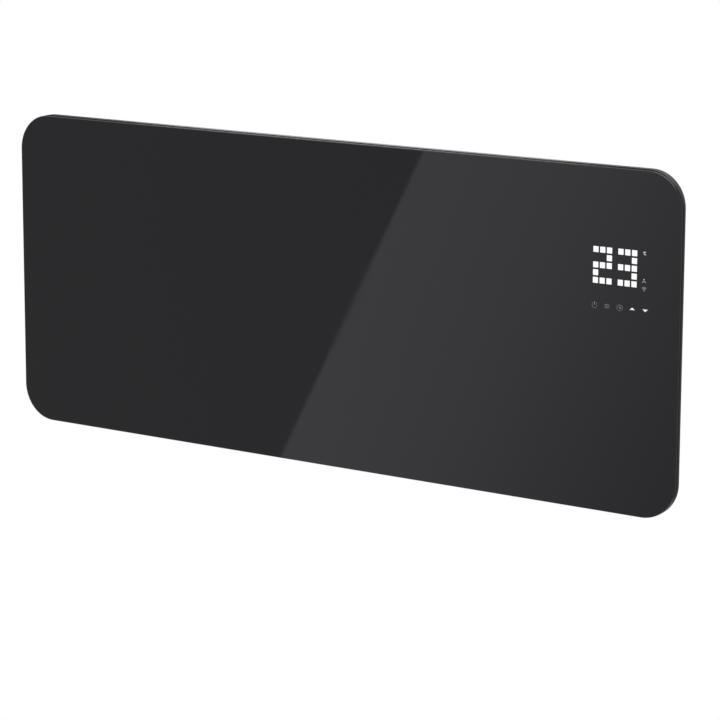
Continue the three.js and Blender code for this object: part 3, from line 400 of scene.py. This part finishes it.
def new_piece(name, mesh, body, material_names):
    piece = bpy.data.objects.new(name, mesh)
    scene.collection.objects.link(piece)
    mesh.materials.clear()
    for material in material_names:
        mesh.materials.append(MATERIALS[material])
    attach(piece, body)
    return piece


def smoothed(mesh, angle):
    mesh.shade_smooth()
    mesh.set_sharp_from_angle(angle=math.radians(angle))


def rounded(piece, width):
    """A small round on every sharp edge."""
    edges = piece.modifiers.new("edges", "BEVEL")
    edges.width = width
    edges.segments = ROUND_STEPS
    edges.limit_method = "ANGLE"
    edges.angle_limit = math.radians(ROUND_ABOVE)
    edges.use_clamp_overlap = True
    edges.harden_normals = True


def cleaned_copy(node):
    """The node's mesh in a new datablock, with its corners joined and its flat faces whole."""
    mesh = nodes[node].data.copy()
    shape = bmesh.new()
    shape.from_mesh(mesh)
    bmesh.ops.remove_doubles(shape, verts=shape.verts, dist=SAME_POINT)
    bmesh.ops.dissolve_limit(
        shape,
        angle_limit=math.radians(FLAT_WITHIN),
        use_dissolve_boundaries=False,
        verts=shape.verts,
        edges=shape.edges,
    )
    shape.to_mesh(mesh)
    shape.free()
    return mesh


def refined(name, node, material, round_width):
    """A piece in the node's place, with the node's shape and small rounds on its edges."""
    mesh = cleaned_copy(node)
    piece = new_piece(name, mesh, nodes[node]["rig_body"], [material])
    for polygon in mesh.polygons:
        polygon.material_index = 0
    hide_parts(node)
    smoothed(mesh, SMOOTH_BELOW)
    if round_width:
        rounded(piece, round_width)
    return piece


# ---------------------------------------------------------------- outlines, as rows of (x, z)

def round_corners(width, height, radius, steps):
    """Centre and angle of each point round the corners of a rectangle about the origin."""
    points = []
    for corner in range(4):
        side_x = 1 if corner in (0, 3) else -1
        side_z = 1 if corner < 2 else -1
        centre = (side_x * (width / 2 - radius), side_z * (height / 2 - radius))
        for step in range(steps + 1):
            points.append((centre, (corner + step / steps) * math.pi / 2))
    return points


def soft_square(x, z, size, radius, steps=5):
    return [
        (x + centre_x + radius * math.cos(angle), z + centre_z + radius * math.sin(angle))
        for (centre_x, centre_z), angle in round_corners(size, size, radius, steps)
    ]


def disc(x, z, radius, steps=28):
    angles = [FULL_TURN * i / steps for i in range(steps)]
    return [(x + radius * math.cos(angle), z + radius * math.sin(angle)) for angle in angles]


def stroke(points, width):
    """A line of the given width through the points, with square ends."""
    left, right = [], []
    for i, (x, z) in enumerate(points):
        before = points[max(i - 1, 0)]
        after = points[min(i + 1, len(points) - 1)]
        dx, dz = after[0] - before[0], after[1] - before[1]
        length = math.hypot(dx, dz)
        nx, nz = -dz / length * width / 2, dx / length * width / 2
        left.append((x + nx, z + nz))
        right.append((x - nx, z - nz))
    return left + list(reversed(right))


def arc(x, z, radius, start, end, width, steps=22):
    """A ring's part from start to end, in degrees, anticlockwise from +X."""
    points = []
    for i in range(steps + 1):
        angle = math.radians(start + (end - start) * i / steps)
        points.append((x + radius * math.cos(angle), z + radius * math.sin(angle)))
    return stroke(points, width)


# ---------------------------------------------------------------- glass front

GLASS_RADIUS, GLASS_CHAMFER = 0.042, 0.0007
GLASS_STEPS = 40
GLASS_SMOOTH_BELOW = 24.0
# The chamfer's two edges are broken over this length, by these shares of it: how deep and how
# far in the corner lies at the face, and how far in it lies at the side
GLASS_BREAK = 0.00012
FACE_DEPTH, FACE_INSET, SIDE_INSET = 0.35, 0.2, 0.8

glass_low, glass_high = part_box("glass_panel")
# The face lies a hair behind the solid's, so that the lit signs stand on it inside the box
GLASS_FRONT = glass_low.y + 0.05 * MM
GLASS_BACK = glass_high.y


def glass_mesh():
    edge = [
        (0.0, GLASS_CHAMFER + GLASS_BREAK),
        (GLASS_BREAK * FACE_DEPTH, GLASS_CHAMFER - GLASS_BREAK * FACE_INSET),
        (GLASS_CHAMFER - GLASS_BREAK, GLASS_BREAK * SIDE_INSET),
        (GLASS_CHAMFER + GLASS_BREAK, 0.0),
    ]
    rings = [(GLASS_FRONT + depth, inset) for depth, inset in edge]
    rings += [(GLASS_BACK - depth, inset) for depth, inset in reversed(edge)]
    size = glass_high - glass_low
    corners = round_corners(size.x, size.z, GLASS_RADIUS, GLASS_STEPS)
    stack = []
    for y, inset in rings:
        reach = GLASS_RADIUS - inset
        stack.append([
            (x + reach * math.cos(angle), y, z + reach * math.sin(angle))
            for (x, z), angle in corners
        ])
    return closed_mesh("glass_front", [stack])


def make_glass():
    mesh = glass_mesh()
    piece = new_piece("glass_front", mesh, "heater", ["black_glass", "glass_edge"])
    smoothed(mesh, GLASS_SMOOTH_BELOW)
    flat_edges = set()
    for polygon in mesh.polygons:
        flat = abs(polygon.normal.y) > FACING
        polygon.material_index = 0 if flat else 1
        if flat:
            flat_edges.update(polygon.edge_keys)
    for edge in mesh.edges:
        if edge.key in flat_edges:
            edge.use_edge_sharp = True
    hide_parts("glass_panel")


make_glass()


# ---------------------------------------------------------------- lit number and signs
# Their places and sizes in the glass's face are in millimetres from its middle.

SIGN_FRONT = glass_low.y
SIGN_BACK = GLASS_FRONT + 0.02 * MM

CELL_SIZE, CELL_PITCH, CELL_ROUND = 6.25, 8.23, 0.35
FIRST_CELL_X, FIRST_CELL_Z, DIGIT_STEP = 347.6, 97.2, 30.17
DIGITS = {
    "two": ["111", "001", "111", "100", "111"],
    "three": ["111", "001", "111", "001", "111"],
}

FIGURE_X, RADIO_X, RADIO_RINGS = 406.1, 406.4, (1.7, 2.9, 4.0)
SHOULDERS = [(403.7, 67.3), (404.9, 68.1), (FIGURE_X, 68.4), (407.3, 68.0), (408.4, 67.2)]

KEY_Z = 37.6
POWER_X, TIMER_X, UP_X, DOWN_X = 347.0, 377.6, 392.75, 408.25
ARROW_HALF = 3.3
HAND_WIDTH = 0.36
WAVE_LEFT, WAVE_LENGTH, WAVE_SWING, WAVE_WIDTH, WAVE_STEPS = 359.3, 5.8, 0.25, 0.2, 24
WAVE_RISES = (1.6, 0.05, -1.5)


def make_sign(name, outlines, material):
    mesh = prisms(name, outlines, SIGN_FRONT, SIGN_BACK)
    new_piece(name, mesh, "heater", [material])


def make_digits():
    for digit, (name, rows) in enumerate(DIGITS.items()):
        cells = []
        for row, marks in enumerate(rows):
            for column, mark in enumerate(marks):
                if mark == "1":
                    x = FIRST_CELL_X + digit * DIGIT_STEP + column * CELL_PITCH
                    z = FIRST_CELL_Z - row * CELL_PITCH
                    cells.append(soft_square(x, z, CELL_SIZE, CELL_ROUND))
        make_sign(f"lit_digit_{name}", cells, "cell_light")


def make_side_signs():
    make_sign("sign_degree", [
        arc(405.15, 99.3, radius=0.66, start=0, end=350, width=0.27),
    ], "sign_mid")
    make_sign("sign_celsius", [
        arc(406.95, 98.05, radius=1.45, start=48, end=312, width=0.55),
    ], "sign_bright")
    make_sign("sign_figure", [
        disc(FIGURE_X, 70.3, radius=0.68),
        stroke(SHOULDERS, width=0.4),
    ], "sign_mid")
    make_sign("sign_radio", [
        disc(RADIO_X, 58.5, radius=0.6),
        *(arc(RADIO_X, 58.3, radius, start=46, end=134, width=0.45) for radius in RADIO_RINGS),
    ], "sign_grey")


def wave(rise):
    """Two swings of a level line, this far above the middle of its key."""
    points = []
    for i in range(WAVE_STEPS + 1):
        way = i / WAVE_STEPS
        swing = WAVE_SWING * math.sin(way * 2 * FULL_TURN)
        points.append((WAVE_LEFT + WAVE_LENGTH * way, KEY_Z + rise + swing))
    return stroke(points, WAVE_WIDTH)


def make_key_signs():
    make_sign("key_power", [
        arc(POWER_X, KEY_Z - 0.2, radius=3.0, start=122, end=418, width=0.14),
        stroke([(POWER_X, KEY_Z), (POWER_X, KEY_Z + 3.9)], width=0.3),
    ], "sign_line")
    make_sign("key_mode", [wave(rise) for rise in WAVE_RISES], "sign_line")
    make_sign("key_timer", [
        arc(TIMER_X, KEY_Z, radius=3.3, start=0, end=358, width=0.15, steps=40),
        stroke([(TIMER_X, KEY_Z - 0.3), (TIMER_X, KEY_Z + 1.9)], HAND_WIDTH),
        stroke([(TIMER_X - 0.2, KEY_Z), (TIMER_X + 1.9, KEY_Z - 0.9)], HAND_WIDTH),
    ], "sign_line")
    make_sign("key_up", [
        [(UP_X, 39.3), (UP_X - ARROW_HALF, 36.6), (UP_X, 37.1), (UP_X + ARROW_HALF, 36.6)],
    ], "cell_light")
    make_sign("key_down", [
        [(DOWN_X, 36.2), (DOWN_X + ARROW_HALF, 39.1), (DOWN_X, 38.9), (DOWN_X - ARROW_HALF, 39.1)],
    ], "sign_bright")


make_digits()
make_side_signs()
make_key_signs()


# ---------------------------------------------------------------- outer pieces

# The rim's corner radius, the chamfer on the solid's front edge and what is left of it here
RIM_RADIUS, RIM_CHAMFER, RIM_CHAMFER_LEFT = 0.0394, 0.0006, 0.0001
ON_CHAMFER = 2e-5
ON_FACE = 1e-5


def sharpen_rim(piece):
    """Draw the small chamfer on the rim's front edge out to a nearly sharp corner.

    The front face is given the dark silicone colour as painted shade for the gap behind the
    glass's edge.
    """
    low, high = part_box("front_tray")
    # Painted shade: the rim's front face behind the glass gets the dark silicone colour
    piece.data.materials.append(MATERIALS["silicone"])
    for polygon in piece.data.polygons:
        if polygon.normal.y < -FACING and polygon.center.y < low.y + ON_FACE:
            polygon.material_index = 1
    reach = RIM_CHAMFER - RIM_CHAMFER_LEFT
    for vertex in piece.data.vertices:
        spot = vertex.co
        if spot.y > low.y + SAME_POINT:
            continue
        past_x = abs(spot.x) - (high.x - RIM_RADIUS)
        past_z = abs(spot.z) - (high.z - RIM_RADIUS)
        past = Vector((past_x, past_z))
        if past_x > 0 and past_z > 0:
            out, inset = past.normalized(), RIM_RADIUS - past.length
        elif past_x > past_z:
            out, inset = Vector((1.0, 0.0)), RIM_RADIUS - past_x
        else:
            out, inset = Vector((0.0, 1.0)), RIM_RADIUS - past_z
        if abs(inset - RIM_CHAMFER) < ON_CHAMFER:
            spot.x += math.copysign(out.x * reach, spot.x)
            spot.z += math.copysign(out.y * reach, spot.z)


sharpen_rim(refined("rim_tray", "front_tray", "rim_paint", 0.0))
refined("cover_shell", "rear_cover", "cover_paint", 0.00028)
refined("grille_outlet", "outlet_grille", "black_plastic", 0.0003)
refined("bracket_plate", "wall_bracket", "bracket_paint", 0.0004)
refined("switch_case", "switch_housing", "black_plastic", 0.0003)
refined("gland_body", "cord_gland", "black_plastic", 0.0004)
for number in range(1, 7):
    refined(f"screw_{number}", f"cover_screw_{number}", "zinc_steel", 0.0002)
refined("rocker_cap", "switch_rocker", "rocker_plastic", 0.00025)


# Halves of the rocker's face in its own frame: X outwards from the pivot, Z along the rocker
ROCKER_HALF, ROCKER_RISE, ROCKER_VALLEY = 0.0082, 0.004, 0.0024
ROCKER_TILT = math.radians(-8.0)
# Share of the way from the pivot to the end at which a mark's middle lies, how deep it is sunk
# and how far it stands proud, and the marks' sizes in millimetres
MARK_PLACE = 0.58
MARK_SUNK, MARK_PROUD = 0.03 * MM, 0.04 * MM
ON_MARK_HALF, ON_MARK_WIDTH = 1.7, 0.55
OFF_MARK_RADIUS, OFF_MARK_WIDTH = 1.45, 0.5


def rocker_face(side):
    """Frame of one half of the rocker's face, with Y into the rocker and Z up along it."""
    joints = record["behaviour"]["joints"]
    pivot = next(joint for joint in joints if joint["name"] == "rocker_pivot")
    climb = ROCKER_RISE - ROCKER_VALLEY
    along = Vector((climb * side, 0.0, ROCKER_HALF)).normalized()
    across = Vector((0.0, 1.0, 0.0))
    axes = Matrix((across, along.cross(across), along)).transposed().to_4x4()
    spot = (ROCKER_VALLEY + climb * MARK_PLACE, 0.0, side * ROCKER_HALF * MARK_PLACE)
    turned = Matrix.Translation(pivot["pos_m"]) @ Matrix.Rotation(ROCKER_TILT, 4, "Y")
    return turned @ Matrix.Translation(spot) @ axes


def make_rocker_mark(name, side, outlines):
    mesh = prisms(name, outlines, -MARK_PROUD, MARK_SUNK)
    mesh.transform(rocker_face(side))
    new_piece(name, mesh, "rocker", ["mark_white"])


make_rocker_mark("rocker_mark_on", 1, [
    stroke([(0.0, -ON_MARK_HALF), (0.0, ON_MARK_HALF)], ON_MARK_WIDTH),
])
make_rocker_mark("rocker_mark_off", -1, [
    arc(0.0, 0.0, OFF_MARK_RADIUS, start, start + 180, OFF_MARK_WIDTH) for start in (0, 180)
])


# ---------------------------------------------------------------- inner pieces keep their solids

for part in record["subparts"]:
    node = nodes[part["node"]]
    material = MATERIALS[part["material_slot"]]
    for place in node.material_slots:
        place.material = material
    if not node.material_slots:
        node.data.materials.append(material)


# ---------------------------------------------------------------- floor, light and camera

FLOOR_Z, FLOOR_CENTRE_Y = -0.9, -0.1
FLOOR_RINGS, FLOOR_STEPS = (0.3, 0.7, 1.25), 96
# Distances from its centre between which the floor fades into the white background
FLOOR_FADE = (0.55, 1.15)


def floor_material():
    look = Surface("floor_pale")
    flat = look.vector("MULTIPLY", look.place, (1.0, 1.0, 0.0))[0]
    moved = look.vector("ADD", flat, (0.0, -FLOOR_CENTRE_Y, 0.0))[0]
    distance = look.vector("LENGTH", moved)["Value"]
    fade = look.mapped(distance, *FLOOR_FADE, smooth=True)
    look.give("Base Color", look.mixed(look.noise(scale=40.0), 0.86, 0.9))
    look.give("Roughness", 0.7)
    seen = look.ray_share("Is Camera Ray", "Is Glossy Ray", "Is Transmission Ray")
    white = look.shining("ShaderNodeEmission", 1.0)
    both = look.blended(look.math("MULTIPLY", fade, seen), look.shader.outputs[0], white)
    look.feed(look.output.inputs["Surface"], both)
    return look.material


def make_floor():
    shape = bmesh.new()
    loops = []
    for radius in FLOOR_RINGS:
        ring = disc(0.0, FLOOR_CENTRE_Y, radius, FLOOR_STEPS)
        loops.append([shape.verts.new((x, y, FLOOR_Z)) for x, y in ring])
    shape.faces.new(loops[0])
    join_loops(shape, loops)
    mesh = mesh_of("floor", shape)
    floor = bpy.data.objects.new("floor", mesh)
    scene.collection.objects.link(floor)
    mesh.materials.append(floor_material())


# The studio as the glass mirrors it: a dim left side, and a bright panel whose slanted edge
# crosses the middle. A mirrored ray is followed from the main view's place, at EYE_X and EYE_Z
# and EYE_RUN in front of the glass, to the glass plane. There the panel's edge is a straight
# line through EDGE_X and EDGE_Z, with EDGE_SLOPE metres to the right for each one up.
EYE_X, EYE_Z, EYE_RUN = 1.9244, 0.6013, 2.6957
EDGE_X, EDGE_Z, EDGE_SLOPE = -0.0650, -0.184, 0.5263
EDGE_BLUR = 0.0025
LEAST_FORWARD = 0.02
DIM_LEVEL = 0.475
# The bright panel's width, its levels at shares of that width, and its tint
PANEL_WIDTH = 0.5
PANEL_LEVELS = [
    (0.0, 0.965), (0.2, 0.915), (0.4, 0.855), (0.52, 0.79),
    (0.66, 0.69), (0.82, 0.60), (1.0, 0.50),
]
PANEL_TINT = (1.0, 0.975, 1.045)
# Distances past the edge over which the panel gives way to the side wall, and that wall's level
SIDE_WALL, SIDE_WALL_LEVEL = (1.2, 2.6), 0.85
# The back wall and the ceiling: spans of the ray's direction over which each one begins, spans
# over which it changes from left to right, and its levels there
BACK_BEGINS, BACK_SPAN, BACK_LEVELS = (-0.05, 0.05), (-0.78, -0.6), (0.03, 0.12)
CEILING_BEGINS, CEILING_SPAN, CEILING_LEVELS = (0.62, 0.74), (-0.45, -0.2), (1.9, 2.5)
# Strength of the plain light that falls on everything that isn't a mirror
SOFT_LIGHT = 0.65


def studio_front(tools, x, y, z):
    """What a ray in this direction meets in front of the glass."""
    forward = tools.math("MAXIMUM", tools.math("MULTIPLY", y, -1.0), LEAST_FORWARD)
    run = tools.math("DIVIDE", EYE_RUN, forward)
    hit_x = tools.math("ADD", tools.math("MULTIPLY", x, run), EYE_X)
    hit_z = tools.math("ADD", tools.math("MULTIPLY", z, run), EYE_Z)
    lean = tools.math("MULTIPLY", tools.math("SUBTRACT", hit_z, EDGE_Z), EDGE_SLOPE)
    past = tools.math("SUBTRACT", hit_x, tools.math("ADD", lean, EDGE_X))
    panel = tools.add("ShaderNodeValToRGB", {0: tools.mapped(past, 0.0, PANEL_WIDTH)})
    ramp = panel.color_ramp
    ramp.interpolation = "B_SPLINE"
    while len(ramp.elements) < len(PANEL_LEVELS):
        ramp.elements.new(0.5)
    for element, (position, level) in zip(ramp.elements, PANEL_LEVELS):
        element.position = position
        element.color = rgba([level * tint for tint in PANEL_TINT])
    edge = tools.mapped(past, -EDGE_BLUR, EDGE_BLUR)
    front = tools.mixed(edge, DIM_LEVEL, panel.outputs[0])
    return tools.mixed(tools.mapped(past, *SIDE_WALL, smooth=True), front, SIDE_WALL_LEVEL)


def make_world():
    world = bpy.data.worlds.new("studio")
    scene.world = world
    world.use_nodes = True
    tools = Nodes(world.node_tree)
    direction = tools.add("ShaderNodeTexCoord").outputs["Generated"]
    x, y, z = tools.add("ShaderNodeSeparateXYZ", {0: direction}).outputs
    back = tools.mixed(tools.mapped(x, *BACK_SPAN, smooth=True), *BACK_LEVELS)
    behind = tools.mapped(y, *BACK_BEGINS, smooth=True)
    around = tools.mixed(behind, studio_front(tools, x, y, z), back)
    ceiling = tools.mapped(x, *CEILING_SPAN, *CEILING_LEVELS, smooth=True)
    mirrored = tools.mixed(tools.mapped(z, *CEILING_BEGINS, smooth=True), around, ceiling)
    soft = tools.shining("ShaderNodeBackground", 1.0, SOFT_LIGHT)
    mirror = tools.shining("ShaderNodeBackground", mirrored)
    white = tools.shining("ShaderNodeBackground", 1.0)
    lit = tools.blended(tools.ray_share("Is Glossy Ray", "Is Transmission Ray"), soft, mirror)
    seen = tools.blended(tools.ray_share("Is Camera Ray"), lit, white)
    tools.add("ShaderNodeOutputWorld", {"Surface": seen})


def make_lamp(name, place, target, size, power, seen=True, mirrored=True):
    data = bpy.data.lights.new(name, "AREA")
    data.shape = "DISK"
    data.size = size
    data.energy = power
    lamp = bpy.data.objects.new(name, data)
    scene.collection.objects.link(lamp)
    lamp.location = place
    aim = Vector(target) - Vector(place)
    lamp.rotation_euler = aim.to_track_quat("-Z", "Y").to_euler()
    lamp.visible_camera = seen
    lamp.visible_glossy = mirrored


# The camera fitted to the photograph: its place, its axes to the right, up and ahead, its lens
# and sensor in millimetres, and its near and far clipping
CAMERA_PLACE = (1.92443, -2.77967, 0.60132)
CAMERA_RIGHT = (0.8200037, 0.5723482, 0.0033832)
CAMERA_UP = (-0.115214, 0.1592714, 0.9804888)
CAMERA_AHEAD = (-0.5606422, 0.8043943, -0.1965457)
CAMERA_LENS, CAMERA_SENSOR = 149.86, 36.0
CAMERA_CLIP = (0.05, 60.0)


def make_camera():
    data = bpy.data.cameras.new("camera")
    data.lens = CAMERA_LENS
    data.sensor_width = CAMERA_SENSOR
    data.sensor_fit = "HORIZONTAL"
    data.clip_start, data.clip_end = CAMERA_CLIP
    camera = bpy.data.objects.new("camera", data)
    scene.collection.objects.link(camera)
    axes = (Vector(CAMERA_RIGHT), Vector(CAMERA_UP), -Vector(CAMERA_AHEAD))
    turn = Matrix(axes).transposed()
    camera.matrix_world = Matrix.Translation(CAMERA_PLACE) @ turn.to_4x4()
    scene.camera = camera


make_floor()
make_world()
make_lamp(
    "key_lamp", place=(0.4, -1.2, 2.2), target=(0.0, 0.0, 0.0), size=2.8, power=38.0,
    mirrored=False,
)
make_lamp(
    "back_lamp", place=(-0.9, 1.3, 0.42), target=(0.05, 0.0, 0.18), size=0.8, power=3.0,
    seen=False,
)
make_camera()

scene.view_settings.view_transform = "Standard"
